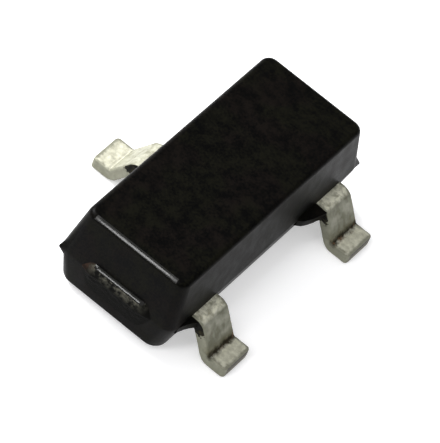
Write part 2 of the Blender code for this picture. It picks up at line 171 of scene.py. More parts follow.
def spread(tree, value, low, high, start=0.0, end=1.0):
    """Number that goes from start to end while the value goes from low to high."""
    inputs = {"Value": value, "From Min": low, "From Max": high, "To Min": start, "To Max": end}
    return add(tree, "ShaderNodeMapRange", inputs).outputs["Result"]


def blend(tree, share, first, second):
    """Mix of two colours, by a share from 0 to 1."""
    first = first if isinstance(first, bpy.types.NodeSocket) else (*first, 1)
    second = second if isinstance(second, bpy.types.NodeSocket) else (*second, 1)
    inputs = {0: share, 6: first, 7: second}
    return add(tree, "ShaderNodeMix", inputs, data_type="RGBA").outputs[2]


def ramp(tree, value, low, high, start, end):
    """Colour that goes from start to end while the value goes from low to high."""
    return blend(tree, spread(tree, value, low, high), start, end)


def relief(tree, height, depth, below=None):
    """Bump whose full height is a number of millimetres."""
    inputs = {"Height": height, "Distance": depth * MM, "Strength": 1.0}
    if below is not None:
        inputs["Normal"] = below
    return add(tree, "ShaderNodeBump", inputs).outputs["Normal"]


def coordinate(tree, vector, name, unit=MM):
    """One coordinate of a vector, in its unit."""
    value = add(tree, "ShaderNodeSeparateXYZ", {"Vector": vector}).outputs[name]
    return maths(tree, "DIVIDE", value, unit)


def size_of(tree, vector, name, unit=MM):
    """One coordinate of a vector without its sign."""
    return maths(tree, "ABSOLUTE", coordinate(tree, vector, name, unit))

# %% [markdown]
# Moulding compound is an epoxy full of fine silica, coloured with carbon. The spark-eroded mould
# leaves a fine, even grain on it, and it mirrors a bright table softly where it is seen at a flat
# angle. The base colour is almost black, with a faint olive and brown cast in soft patches. The end
# walls below the parting line are a little duller, and a mask on the normal finds them.

# %% Moulding compound
COMPOUND_DARK = (0.0003, 0.0003, 0.0003)
COMPOUND_OLIVE = (0.0036, 0.0035, 0.0017)
COMPOUND_BROWN = (0.0038, 0.0027, 0.0020)
COMPOUND_SPECULAR = 0.05
COMPOUND_GLOSS = (0.36, 0.46)
TINT_CELLS = 0.35
TINT_SPAN = (0.44, 0.56)
PATCH_CELLS = 0.12
SPECK_CELLS = 0.022
WAVE_CELLS = 0.16
WAVE_DEPTH = 0.003
SPARK_CELLS = 0.014
SPARK_DEPTH = 0.0010
FACING_AN_END = (0.9, 0.99)
FACING_DOWN = (-0.05, 0.1)
END_WALL_DULLING = 0.15


def lower_end_walls(tree):
    """Mask of the end walls below the parting line."""
    facing = add(tree, "ShaderNodeNewGeometry", {}).outputs["Normal"]
    at_end = spread(tree, size_of(tree, facing, "Y", unit=1), *FACING_AN_END)
    below = spread(tree, coordinate(tree, facing, "Z", unit=1), *FACING_DOWN, 1, 0)
    return maths(tree, "MULTIPLY", at_end, below)


def moulding_compound():
    """Black epoxy with a fine spark-eroded grain."""
    made, tree, shader, place = start_material("moulding_compound", roughness=0.4,
                                               specular=COMPOUND_SPECULAR)
    tint = ramp(tree, cells(tree, place, TINT_CELLS, detail=1), *TINT_SPAN, COMPOUND_OLIVE,
                COMPOUND_BROWN)
    patches = maths(tree, "MULTIPLY", cells(tree, place, PATCH_CELLS, detail=3), 0.5)
    specks = maths(tree, "MULTIPLY", cells(tree, place, SPECK_CELLS), 0.5)
    mottle = spread(tree, maths(tree, "ADD", patches, specks), *HARD_SPAN)
    tree.links.new(blend(tree, mottle, COMPOUND_DARK, tint), shader.inputs["Base Color"])
    gloss = spread(tree, cells(tree, place, PATCH_CELLS), *NOISE_SPAN, *COMPOUND_GLOSS)
    duller = maths(tree, "MULTIPLY", lower_end_walls(tree), END_WALL_DULLING)
    tree.links.new(maths(tree, "ADD", gloss, duller), shader.inputs["Roughness"])
    wave = relief(tree, cells(tree, place, WAVE_CELLS, detail=1), WAVE_DEPTH)
    grain = relief(tree, cells(tree, place, SPARK_CELLS, roughness=0.6), SPARK_DEPTH, wave)
    tree.links.new(grain, shader.inputs["Normal"])
    return made


compound = moulding_compound()
print("material", compound.name)

# %% [markdown]
# The front rim of the block rubs on other parts in the feeder. That polishes it, so it catches a lamp
# as a thin bright line. The polish fades towards the corners.

# %% Rubbed rim
RIM_COLOUR = (0.004, 0.004, 0.003)
RIM_GLOSS = (0.20, 0.42)
RIM_FADE = (0.36, 0.46)
WEAR_CELLS = 0.09
WEAR_REACH = 0.05
RIM_GRAIN_CELLS = 0.06


def rubbed_rim():
    """Compound that is polished by rubbing."""
    made, tree, shader, place = start_material("rubbed_rim", roughness=0.3, specular=0.5)
    shader.inputs["Base Color"].default_value = (*RIM_COLOUR, 1)
    wear = cells(tree, place, WEAR_CELLS, detail=3, roughness=0.6)
    worn = spread(tree, wear, *NOISE_SPAN, -WEAR_REACH, WEAR_REACH)
    aside = maths(tree, "ADD", size_of(tree, place, "X"), worn)
    tree.links.new(spread(tree, aside, *RIM_FADE, *RIM_GLOSS), shader.inputs["Roughness"])
    tree.links.new(relief(tree, cells(tree, place, RIM_GRAIN_CELLS), SPARK_DEPTH),
                   shader.inputs["Normal"])
    return made


rim = rubbed_rim()
print("material", rim.name)

# %% [markdown]
# Where the mould gate was snapped off, the compound is broken and not moulded. The break is rough and
# lighter than the skin, most of all under the ledge, and stained brown at one end of it.

# %% Broken compound
BREAK_DARK = (0.002, 0.002, 0.0015)
BREAK_LIGHT = (0.150, 0.145, 0.115)
BREAK_STAIN = (0.034, 0.019, 0.013)
BARE_HEIGHT = (0.40, 0.54)
BARE_SIDE = (0.18, 0.36)
FLAKE_CELLS = 0.06
FLAKE_SPAN = (0.42, 0.62)
STAIN_PLACE = (-0.345 * MM, -1.46 * MM, 0.49 * MM)
STAIN_FADE = (0.01, 0.10)
STAIN_STRENGTH = 0.9
STAIN_CELLS = 0.03
STAIN_RAGGED = 0.04
CRUMB_CELLS = 0.017
CRUMB_DEPTH = 0.005


def distance_to(tree, place, point):
    """Distance to a point, in millimetres."""
    between = add(tree, "ShaderNodeVectorMath", {0: place, 1: point}, operation="DISTANCE")
    return maths(tree, "DIVIDE", between.outputs["Value"], MM)


def broken_compound():
    """Snapped surface of the gate: rough, lighter and stained."""
    made, tree, shader, place = start_material("broken_compound", roughness=0.75,
                                               specular=COMPOUND_SPECULAR)
    bare = maths(tree, "MULTIPLY", spread(tree, coordinate(tree, place, "Z"), *BARE_HEIGHT),
                 spread(tree, size_of(tree, place, "X"), *BARE_SIDE, 1, 0))
    flakes = spread(tree, cells(tree, place, FLAKE_CELLS, detail=4, roughness=0.65), *FLAKE_SPAN)
    colour = blend(tree, maths(tree, "MULTIPLY", bare, flakes), BREAK_DARK, BREAK_LIGHT)
    ragged = spread(tree, cells(tree, place, STAIN_CELLS, detail=3), *NOISE_SPAN,
                    -STAIN_RAGGED, STAIN_RAGGED)
    from_stain = maths(tree, "ADD", distance_to(tree, place, STAIN_PLACE), ragged)
    stain = spread(tree, from_stain, *STAIN_FADE, STAIN_STRENGTH, 0)
    tree.links.new(blend(tree, stain, colour, BREAK_STAIN), shader.inputs["Base Color"])
    crumbs = relief(tree, cells(tree, place, CRUMB_CELLS, detail=4, roughness=0.7), CRUMB_DEPTH)
    tree.links.new(crumbs, shader.inputs["Normal"])
    return made


gate_break = broken_compound()
BODY_SURFACES = (compound, gate_break, rim)
BROKEN = BODY_SURFACES.index(gate_break)
RUBBED = BODY_SURFACES.index(rim)
print("material", gate_break.name)

# %% [markdown]
# Three helpers serve all the modelling. A ring is a rectangle with round corners, made by bevelling
# the corners of a one-face grid. A push extrudes one face along a vector. A Boolean works on drawings
# in millimetres, before anything is brought to metres.

# %% Modelling helpers
def ring_of(bm, half_x, half_y, radius, z, steps=7):
    """Edges of a rectangle with round corners, at one height."""
    known = set(bm.faces)
    grid = bmesh.ops.create_grid(bm, x_segments=1, y_segments=1, size=1)
    bmesh.ops.scale(bm, verts=grid["verts"], vec=(half_x, half_y, 1))
    bmesh.ops.translate(bm, verts=grid["verts"], vec=(0, 0, z))
    bmesh.ops.bevel(bm, geom=grid["verts"], offset=radius, segments=steps, profile=0.5,
                    affect="VERTICES", material=-1)
    face = next(face for face in bm.faces if face not in known)
    edges = list(face.edges)
    bmesh.ops.delete(bm, geom=[face], context="FACES_ONLY")
    return edges


def push(bm, cap, move):
    """Extrude one face along a vector, and give the new face."""
    pushed = bmesh.ops.extrude_face_region(bm, geom=[cap])
    new_cap = next(item for item in pushed["geom"] if isinstance(item, bmesh.types.BMFace))
    bmesh.ops.translate(bm, verts=new_cap.verts, vec=move)
    return new_cap


def as_drawing(bm):
    """Object in millimetres, only for a Boolean."""
    bmesh.ops.recalc_face_normals(bm, faces=bm.faces)
    mesh = bpy.data.meshes.new("drawing")
    bm.to_mesh(mesh)
    bm.free()
    for surface in BODY_SURFACES:
        mesh.materials.append(surface)
    drawing = bpy.data.objects.new("drawing", mesh)
    bpy.context.scene.collection.objects.link(drawing)
    return drawing


def combine(first, second, operation):
    """Join or cut two drawings, and give the drawing that comes out."""
    target = as_drawing(first)
    tool = as_drawing(second)
    step = target.modifiers.new("combine", "BOOLEAN")
    step.operation = operation
    step.solver = "EXACT"
    step.object = tool
    bpy.context.view_layer.update()
    result = bmesh.new()
    result.from_mesh(target.evaluated_get(bpy.context.evaluated_depsgraph_get()).data)
    bpy.data.objects.remove(target, do_unlink=True)
    bpy.data.objects.remove(tool, do_unlink=True)
    return result

# %% [markdown]
# A helper turns a drawing into a finished piece. It merges doubled points, turns every face outwards,
# brings the mesh to metres and shades it smooth, with sharp edges where faces meet at more than a
# given angle, and where the first surface of a piece meets its second: skin and break, or plating and
# cut. A modifier weighs the shading by the size of the faces. The object stays at the origin, so
# patterns on Object coordinates stay in place.

# %% Finish a piece
FLAT_FACE_WEIGHT = 80
FIRST_AND_SECOND = {0, 1}


def piece(name, bm, surfaces, sharp=35):
    """Finished object, in metres and at the origin, riding on the one body of the frame."""
    bmesh.ops.remove_doubles(bm, verts=bm.verts, dist=SAME_POINT)
    bmesh.ops.recalc_face_normals(bm, faces=bm.faces)
    bmesh.ops.scale(bm, verts=bm.verts, vec=(MM, MM, MM))
    for face in bm.faces:
        face.smooth = True
    for edge in bm.edges:
        border = {face.material_index for face in edge.link_faces} == FIRST_AND_SECOND
        edge.smooth = not border and edge.calc_face_angle(0) < math.radians(sharp)
    mesh = bpy.data.meshes.new(name)
    bm.to_mesh(mesh)
    bm.free()
    for surface in surfaces:
        mesh.materials.append(surface)
    made = bpy.data.objects.new(name, mesh)
    bpy.context.scene.collection.objects.link(made)
    weigh = made.modifiers.new("flat faces stay flat", "WEIGHTED_NORMAL")
    weigh.keep_sharp = True
    weigh.weight = FLAT_FACE_WEIGHT
    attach(made, "root")
    print(f"{name}: {len(mesh.polygons)} faces")
    return made

# %% [markdown]
# The body is two drafted halves that meet at the parting line. Each half is a loft between two rings,
# because the corner radius shrinks towards the top and grows towards the bottom, which one bevel
# along an upright edge couldn't do. Then the rims and the parting line are bevelled, and the faces of
# the upper front rim that lean between wall and top get the rubbed material.

# %% Moulded block
BODY_LENGTH = 2.92
BODY_WIDTH = 1.28
TOP_SIDE_DRAFT = math.radians(9.2)
TOP_END_DRAFT = math.radians(9.7)
BOTTOM_SIDE_DRAFT = math.radians(12)
BOTTOM_END_DRAFT = math.radians(6)
TOP_CORNER = 0.1
PARTING_CORNER = 0.12
BOTTOM_CORNER = 0.14
TOP_RIM = 0.047
BOTTOM_RIM = 0.04
PARTING_RIM = 0.014
PARTING_STEPS = 2
RIM_STEPS = 8
STRAIGHT_AHEAD = 0.01
RUBBED_LOW = 0.45
RUBBED_HIGH = 0.97


def at_height(bm, z):
    """Edges that lie at one height."""
    return [edge for edge in bm.edges if all(abs(vert.co.z - z) < SAME_POINT for vert in edge.verts)]


def wall_x(z):
    """Distance of the side walls from the middle, at one height."""
    draft = TOP_SIDE_DRAFT if z > PARTING else BOTTOM_SIDE_DRAFT
    return BODY_WIDTH / 2 - abs(z - PARTING) * math.tan(draft)


def wall_y(z):
    """Distance of the end walls from the middle, at one height."""
    draft = TOP_END_DRAFT if z > PARTING else BOTTOM_END_DRAFT
    return BODY_LENGTH / 2 - abs(z - PARTING) * math.tan(draft)


def moulded_block():
    """Outer form of the body, closed."""
    bm = bmesh.new()
    levels = ((STANDOFF, BOTTOM_CORNER), (PARTING, PARTING_CORNER), (BODY_TOP, TOP_CORNER))
    rings = [ring_of(bm, wall_x(z), wall_y(z), corner, z) for z, corner in levels]
    bmesh.ops.bridge_loops(bm, edges=rings[0] + rings[1])
    bmesh.ops.bridge_loops(bm, edges=rings[1] + rings[2])
    bmesh.ops.holes_fill(bm, edges=rings[0] + rings[2])
    for z, width, steps in ((PARTING, PARTING_RIM, PARTING_STEPS), (STANDOFF, BOTTOM_RIM, RIM_STEPS),
                            (BODY_TOP, TOP_RIM, RIM_STEPS)):
        rounded = bmesh.ops.bevel(bm, geom=at_height(bm, z), offset=width, segments=steps,
                                  profile=0.5, affect="EDGES", material=-1)
    bmesh.ops.recalc_face_normals(bm, faces=bm.faces)
    bm.normal_update()
    for face in rounded["faces"]:
        facing_front = face.normal.y < 0 and abs(face.normal.x) < STRAIGHT_AHEAD
        if facing_front and RUBBED_LOW < face.normal.z < RUBBED_HIGH:
            face.material_index = RUBBED
    return bm


casting = moulded_block()
print("moulded block:", len(casting.faces), "faces")

# %% [markdown]
# The gate scar stands a few hundredths of a millimetre proud of the end wall, with a sharp ledge on
# top where the runner sat, and fades into the wall at its sides and foot. A dense grid is laid on the
# wall, lifted by noise so that it looks snapped, and pushed back into the block. It has the material
# of the break, and the middle of its ledge has the rubbed one.

# %% Gate scar
GATE_TOP_WIDTH = 0.63
GATE_WIDTH = 0.8
GATE_BOTTOM_WIDTH = 0.62
GATE_ABOVE_PARTING = 0.112
GATE_BELOW_PARTING = 0.25
GATE_MIDDLE = 0.024
GATE_LEDGE = 0.046
LEDGE_RIM = 0.040
LEDGE_SHARE = 0.87
LEDGE_RUBBED = 0.6
GATE_FADE = 0.25
GATE_SUNK = 0.003
GATE_DEPTH = 0.06
GATE_COLUMNS = 72
GATE_ROWS = 60
CHIP_DEPTH = 0.005
CHIPS_PER_MM = 22
FINE_CHIPS_PER_MM = 60
FINE_CHIP_SHARE = 0.5
CHIP_START = 0.15
CHIP_GROWTH = 2
OTHER_LAYER = 3


def gate_width(z):
    """Width of the scar at one height: widest at the parting line."""
    if z > PARTING:
        return GATE_WIDTH + (GATE_TOP_WIDTH - GATE_WIDTH) * (z - PARTING) / GATE_ABOVE_PARTING
    return GATE_WIDTH + (GATE_BOTTOM_WIDTH - GATE_WIDTH) * (PARTING - z) / GATE_BELOW_PARTING


def chip_at(x, z):
    """Uneven height of the break at one place, from two sizes of noise."""
    coarse = noise.noise(Vector((x, z, 0)) * CHIPS_PER_MM)
    fine = noise.noise(Vector((x, z, OTHER_LAYER)) * FINE_CHIPS_PER_MM)
    return coarse + FINE_CHIP_SHARE * fine


def gate_scar():
    """Snapped-off gate on the end wall at -Y."""
    bm = bmesh.new()
    bmesh.ops.create_grid(bm, x_segments=GATE_COLUMNS, y_segments=GATE_ROWS, size=1)
    height = GATE_ABOVE_PARTING + GATE_BELOW_PARTING
    top = PARTING + GATE_ABOVE_PARTING
    for vert in bm.verts:
        across = vert.co.x
        up = (vert.co.y + 1) / 2
        z = top - height * (1 - up)
        x = GATE_MIDDLE + across * gate_width(z) / 2
        lift = up * min(1, (1 - abs(across)) / GATE_FADE)
        rough = chip_at(x, z) * max(0, min(1, (lift - CHIP_START) * CHIP_GROWTH, (top - z) / LEDGE_RIM))
        into_rim = max(0, z - (top - LEDGE_RIM))
        rounding = LEDGE_RIM - math.sqrt(max(0, LEDGE_RIM ** 2 - into_rim ** 2))
        forward = GATE_LEDGE * lift - GATE_SUNK - CHIP_DEPTH * rough - rounding
        vert.co = Vector((x, -wall_y(z) - forward, z))
    behind = bmesh.ops.extrude_face_region(bm, geom=list(bm.faces))
    for item in behind["geom"]:
        if isinstance(item, bmesh.types.BMVert):
            item.co.y = -BODY_LENGTH / 2 + GATE_DEPTH + GATE_LEDGE
    for face in bm.faces:
        middle = face.calc_center_median()
        in_line = abs(middle.x - GATE_MIDDLE) < GATE_TOP_WIDTH / 2 * LEDGE_SHARE
        on_ledge = in_line and middle.z > top - LEDGE_RIM * LEDGE_RUBBED
        face.material_index = RUBBED if on_ledge else BROKEN
    return bm


casting = combine(casting, gate_scar(), "UNION")
print("with the gate scar:", len(casting.faces), "faces")

# %% [markdown]
# Compound also leaks a little at the parting line. Two corners carry a pointed spur, and beside each
# of the two leads at +X hangs a thin web, which filled the gap between the mould and the strip. The
# webs are outlines pushed down, with bevelled rims.

# %% Flash
SPUR_WIDTH = 0.26
SPUR_HEIGHT = 0.48
SPUR_POINT = 0.012
SPUR_REACH = 0.038
SPUR_SIDES = 16
LEAD_WIDTH = 0.39
LEAD_GAP = 0.003
WEB_THICKNESS = 0.085
WEB_STEPS = 9
WEB_RAGGED = 0.008
WEB_WAVES = 5
WEB_RIM = 0.02
WEB_RIM_STEPS = 3


def spur(sign_x, sign_y):
    """Pointed cone of flash that fills a round corner at the parting line."""
    bm = bmesh.new()
    reach = PARTING_CORNER + SPUR_REACH
    bmesh.ops.create_cone(bm, segments=SPUR_SIDES, radius1=SPUR_WIDTH / 2, radius2=SPUR_POINT / 2,
                          depth=reach, cap_ends=True)
    bmesh.ops.scale(bm, verts=bm.verts, vec=(SPUR_HEIGHT / SPUR_WIDTH, 1, 1))
    bmesh.ops.translate(bm, verts=bm.verts, vec=(0, 0, reach / 2))
    bmesh.ops.rotate(bm, verts=bm.verts, matrix=Matrix.Rotation(math.radians(90), 3, "Y"))
    bmesh.ops.rotate(bm, verts=bm.verts, matrix=Matrix.Rotation(math.atan2(sign_y, sign_x), 3, "Z"))
    corner = Vector((sign_x * (BODY_WIDTH / 2 - PARTING_CORNER),
                     sign_y * (BODY_LENGTH / 2 - PARTING_CORNER), PARTING))
    bmesh.ops.translate(bm, verts=bm.verts, vec=corner)
    return bm


def web(row, length, reach, fullness):
    """Web between the wall at +X and the -Y side of a lead. Its rim is hollow or full."""
    lead_side = row - LEAD_WIDTH / 2 - LEAD_GAP
    inside = BODY_WIDTH / 2 - WEB_THICKNESS
    outline = [(inside, lead_side)]
    for step in range(WEB_STEPS + 1):
        share = step / WEB_STEPS
        ragged = noise.noise(Vector((row, share * WEB_WAVES, 0))) * math.sin(math.pi * share)
        outline.append((BODY_WIDTH / 2 + reach * (1 - share) ** fullness + WEB_RAGGED * ragged,
                        lead_side - length * share))
    outline.append((inside, lead_side - length))
    bm = bmesh.new()
    top = bm.faces.new([bm.verts.new((x, y, PARTING)) for x, y in outline])
    bottom = push(bm, top, (0, 0, -WEB_THICKNESS))
    rims = [edge for edge in bottom.edges if min(vert.co.x for vert in edge.verts) > inside + CLOSE]
    bmesh.ops.bevel(bm, geom=rims, offset=WEB_RIM, segments=WEB_RIM_STEPS, profile=0.5,
                    affect="EDGES", material=-1)
    return bm


casting = combine(casting, spur(-1, -1), "UNION")
casting = combine(casting, spur(1, 1), "UNION")
casting = combine(casting, web(-LEAD_ROW, length=0.2, reach=0.085, fullness=1.6), "UNION")
casting = combine(casting, web(LEAD_ROW, length=0.29, reach=0.13, fullness=0.55), "UNION")
print("with the flash:", len(casting.faces), "faces")

# %% [markdown]
# The underside has the round mark of an ejector pin. The pin stands a little proud of the mould, so
# it leaves a shallow dish.

# %% Ejector mark
EJECTOR_DIAMETER = 0.7
EJECTOR_DEPTH = 0.02
EJECTOR_SIDES = 64


def ejector_mark():
    """Disc that cuts the dish."""
    bm = bmesh.new()
    bmesh.ops.create_cone(bm, segments=EJECTOR_SIDES, radius1=EJECTOR_DIAMETER / 2,
                          radius2=EJECTOR_DIAMETER / 2 - EJECTOR_DEPTH, depth=2 * EJECTOR_DEPTH,
                          cap_ends=True)
    bmesh.ops.translate(bm, verts=bm.verts, vec=(0, 0, STANDOFF))
    return bm


casting = combine(casting, ejector_mark(), "DIFFERENCE")
print("with the ejector mark:", len(casting.faces), "faces")

# %% [markdown]
# The compound is cast round the leads, the die and the wire, so each of them has a hollow of its own
# shape. A merged copy of each solid in the frame, grown by a few micrometres, cuts it.

# %% Hollows for what is inside
INNER_NODES = ("lead_cathode", "lead_anode", "lead_unconnected", "die_attach", "zener_die", "bond_wire")


def room_for(name):
    """Closed copy of a node of the frame, a little larger all round, in millimetres."""
    bm = bmesh.new()
    bm.from_mesh(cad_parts[name].data)
    bmesh.ops.scale(bm, verts=bm.verts, vec=(1 / MM, 1 / MM, 1 / MM))
    bmesh.ops.remove_doubles(bm, verts=bm.verts, dist=CLOSE)
    bmesh.ops.recalc_face_normals(bm, faces=bm.faces)
    bm.normal_update()
    moves = [vert.normal * vert.calc_shell_factor() * LEAD_GAP for vert in bm.verts]
    for vert, move in zip(bm.verts, moves):
        vert.co += move
    return bm


for name in INNER_NODES:
    casting = combine(casting, room_for(name), "DIFFERENCE")
moulded_body = piece("moulded_body", casting, BODY_SURFACES)
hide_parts("body")

# %% [markdown]
# The leads are copper strip, plated with matte tin. Plating this thin shows the crystals as a cream-
# grey grain. Flat runs get the colour of lit tin and sloping legs a darker copy, which is painted
# shade; a mask on the normal mixes the two. The lead at -X faces the lamp, and its root and leg get a
# fixed share of the lit colour: painted shade on the flat root, painted light on the sloping leg.

# %% Grain of the tin, with painted light and shade
TIN_LIGHT = (0.84, 0.83, 0.70)
TIN_DARK = (0.44, 0.43, 0.33)
SHADED_TIN_LIGHT = (0.34, 0.34, 0.28)
SHADED_TIN_DARK = (0.20, 0.20, 0.15)
CRYSTAL_CELLS = 0.05
LEG_CELLS = 0.09
LEG_SPAN = (0.36, 0.64)
FACING_UP = (0.72, 0.9)
CONTRAST_PLACE = (0.78, 0.95)
CONTRAST = (4, 1.6)
MOTTLE_MIDDLE = 0.55
LEFT_ROOT_PLACE = (0.92, 0.98)
LEFT_ROOT_LIT_SHARE = 0.4


def lit_and_shaded_tin(tree, place, facing, crystals):
    """Colour of plating, lit on flat runs and painted shade on slopes, without edges, tarnish or resin.
    """
    along = coordinate(tree, place, "X")
    outwards = maths(tree, "ABSOLUTE", along)
    # Painted light and shade: faces that point up get lit tin, sloping faces a darker shaded copy.
    flat = spread(tree, coordinate(tree, facing, "Z", unit=1), *FACING_UP)
    shaded_legs = ramp(tree, cells(tree, place, LEG_CELLS), *LEG_SPAN, SHADED_TIN_DARK, SHADED_TIN_LIGHT)
    contrast = spread(tree, outwards, *CONTRAST_PLACE, *CONTRAST)
    mottle = maths(tree, "MULTIPLY", maths(tree, "SUBTRACT", crystals, 0.5), contrast)
    mottle = maths(tree, "ADD", mottle, MOTTLE_MIDDLE)
    # Painted shade and light on the lead at -X: its root and leg get a fixed share of the lit colour.
    left_root = maths(tree, "MULTIPLY", maths(tree, "LESS_THAN", along, 0),
                      spread(tree, outwards, *LEFT_ROOT_PLACE, 1, 0))
    bright = spread(tree, left_root, 0, 1, flat, LEFT_ROOT_LIT_SHARE)
    return blend(tree, bright, shaded_legs, blend(tree, mottle, TIN_DARK, TIN_LIGHT))

# %% [markdown]
# The rims of the strip are darker, along the sides and the toe. Tarnish gathers in the inside of the
# lower bend of the leads at +X, with brown specks in it. Above it, the foot of the leg gets painted
# shade, a darker olive. Both masks are distances on the piece, made ragged by the same noise.

# %% Edges, tarnish and painted shade
TIN_EDGE = (0.27, 0.27, 0.21)
EDGE_SPAN = (0.018, 0.039)
EDGE_STRENGTH = 0.8
EDGE_RAGGED = 0.25
PAINTED_LEG_SHADE = (0.15, 0.14, 0.085)
LEG_FOOT = (0.115, 0.135)
SHADE_SPAN = (0.03, 0.11)
SHADE_STRENGTH = 0.7
TARNISH = (0.026, 0.020, 0.010)
TARNISH_WARM = (0.17, 0.10, 0.055)
TARNISH_X = 0.942
TARNISH_Z = 0.124
TARNISH_SPAN = (0.010, 0.044)
TARNISH_STRENGTH = 0.95
TARNISH_RAGGED = 0.3
WARM_CELLS = 0.045
WARM_SPAN = (0.54, 0.70)


def darken_edges(tree, place, colour, wander):
    """Darker rim along the sides and the toe of a lead."""
    on_right = maths(tree, "GREATER_THAN", coordinate(tree, place, "X"), 0)
    row = maths(tree, "MULTIPLY", on_right, LEAD_ROW)
    aside = maths(tree, "ABSOLUTE", maths(tree, "SUBTRACT", size_of(tree, place, "Y"), row))
    to_side = maths(tree, "SUBTRACT", LEAD_WIDTH / 2, aside)
    to_toe = maths(tree, "SUBTRACT", LEAD_REACH, size_of(tree, place, "X"))
    to_edge = maths(tree, "ADD", maths(tree, "MINIMUM", to_side, to_toe),
                    maths(tree, "MULTIPLY", wander, EDGE_RAGGED))
    return blend(tree, spread(tree, to_edge, *EDGE_SPAN, EDGE_STRENGTH, 0), colour, TIN_EDGE)


def tarnish_bend(tree, place, colour, wander):
    """Painted shade at the foot of the leg, and brown tarnish in the bend under it."""
    height = coordinate(tree, place, "Z")
    across = maths(tree, "SUBTRACT", size_of(tree, place, "X"), TARNISH_X)
    above = maths(tree, "SUBTRACT", height, TARNISH_Z)
    away = maths(tree, "SQRT", maths(tree, "ADD", maths(tree, "MULTIPLY", across, across),
                                     maths(tree, "MULTIPLY", above, above)))
    away = maths(tree, "ADD", away, maths(tree, "MULTIPLY", wander, TARNISH_RAGGED))
    on_right = maths(tree, "GREATER_THAN", coordinate(tree, place, "X"), 0)
    on_leg = maths(tree, "MULTIPLY", on_right, spread(tree, height, *LEG_FOOT))
    # Painted shade: darker olive on the foot of the leg above the bend, on the leads at +X only.
    shade = maths(tree, "MULTIPLY", spread(tree, away, *SHADE_SPAN, SHADE_STRENGTH, 0), on_leg)
    colour = blend(tree, shade, colour, PAINTED_LEG_SHADE)
    brown = spread(tree, away, *TARNISH_SPAN, TARNISH_STRENGTH, 0)
    warm = ramp(tree, cells(tree, place, WARM_CELLS, detail=3), *WARM_SPAN, TARNISH, TARNISH_WARM)
    return blend(tree, maths(tree, "MULTIPLY", brown, on_right), colour, warm)

# %% [markdown]
# Leaked resin stays as a dark ragged patch on the cut sides of each lead, next to the body. The patch
# isn't metal, so the same mask takes the metallic value away.

# %% Matte tin
TIN_METALLIC = 0.8
TIN_GLOSS = (0.58, 0.74)
GLOSS_CELLS = 0.03
CRYSTAL_DEPTH = 0.004
FINE_CELLS = 0.010
FINE_DEPTH = 0.0008
WANDER_CELLS = 0.05
WANDER_REACH = 0.05
RESIN = (0.003, 0.003, 0.002)
RESIN_PALE = (0.035, 0.030, 0.014)
RESIN_CELLS = 0.04
RESIN_SPAN = (0.5, 0.7)
RESIN_REACH = 0.82
RESIN_FOOT = 0.26
RESIN_RIM = 0.012
FACING_SIDEWAYS = (0.5, 0.7)


def resin_patch(tree, place, facing, wander):
    """Mask of the resin on the sides of a lead, near the body and above its foot."""
    outwards = maths(tree, "ADD", size_of(tree, place, "X"), wander)
    upwards = maths(tree, "ADD", coordinate(tree, place, "Z"), wander)
    near = spread(tree, outwards, RESIN_REACH, RESIN_REACH + RESIN_RIM, 1, 0)
    high = spread(tree, upwards, RESIN_FOOT, RESIN_FOOT + RESIN_RIM)
    side = spread(tree, size_of(tree, facing, "Y", unit=1), *FACING_SIDEWAYS)
    return maths(tree, "MULTIPLY", side, maths(tree, "MULTIPLY", near, high))


def matte_tin():
    """Tin plating with grain, tarnish in the bend and resin on the sides."""
    made, tree, shader, place = start_material("matte_tin", roughness=0.6, metallic=TIN_METALLIC,
                                               specular=0.1)
    facing = add(tree, "ShaderNodeNewGeometry", {}).outputs["Normal"]
    crystals = cells(tree, place, CRYSTAL_CELLS, detail=3, roughness=0.6)
    wander = spread(tree, cells(tree, place, WANDER_CELLS, detail=3, roughness=0.65), *NOISE_SPAN,
                    -WANDER_REACH, WANDER_REACH)
    colour = lit_and_shaded_tin(tree, place, facing, crystals)
    colour = darken_edges(tree, place, colour, wander)
    colour = tarnish_bend(tree, place, colour, wander)
    resin = resin_patch(tree, place, facing, wander)
    resin_colour = ramp(tree, cells(tree, place, RESIN_CELLS, detail=3), *RESIN_SPAN, RESIN, RESIN_PALE)
    tree.links.new(blend(tree, resin, colour, resin_colour), shader.inputs["Base Color"])
    plated = maths(tree, "MULTIPLY", maths(tree, "SUBTRACT", 1, resin), TIN_METALLIC)
    tree.links.new(plated, shader.inputs["Metallic"])
    gloss = spread(tree, cells(tree, place, GLOSS_CELLS), *NOISE_SPAN, *TIN_GLOSS)
    tree.links.new(gloss, shader.inputs["Roughness"])
    coarse = relief(tree, crystals, CRYSTAL_DEPTH)
    fine = relief(tree, cells(tree, place, FINE_CELLS, roughness=0.6), FINE_DEPTH, coarse)
    tree.links.new(fine, shader.inputs["Normal"])
    return made


tin = matte_tin()
print("material", tin.name)

# %% [markdown]
# After plating, each lead is cut off the strip at its toe. The cut bares the copper, which has gone
# brown, and the punch drags some tin down over it. Stretched noise makes upright streaks, and a
# gradient over the height brings more tin towards the foot of the cut.

# %% Cut copper
CUT_COPPER = (0.022, 0.017, 0.010)
SMEARED_TIN = (0.14, 0.13, 0.09)
STREAK_CELLS = 0.012
STREAK_STRETCH = 0.25
STREAK_DEPTH = 0.003
DRAG_HEIGHT = (0.02, 0.09)
DRAG = (0.35, -0.35)
SMEAR_SPAN = (0.25, 0.75)


def cut_copper():
    """Sheared end of a lead."""
    made, tree, shader, place = start_material("cut_copper", roughness=0.5, metallic=1.0)
    stretched = add(tree, "ShaderNodeMapping", {"Vector": place, "Scale": (1, 1, STREAK_STRETCH)})
    streaks = cells(tree, stretched.outputs["Vector"], STREAK_CELLS)
    drag = spread(tree, coordinate(tree, place, "Z"), *DRAG_HEIGHT, *DRAG)
    smear = maths(tree, "ADD", streaks, drag)
    tree.links.new(ramp(tree, smear, *SMEAR_SPAN, CUT_COPPER, SMEARED_TIN), shader.inputs["Base Color"])
    tree.links.new(relief(tree, streaks, STREAK_DEPTH), shader.inputs["Normal"])
    return made


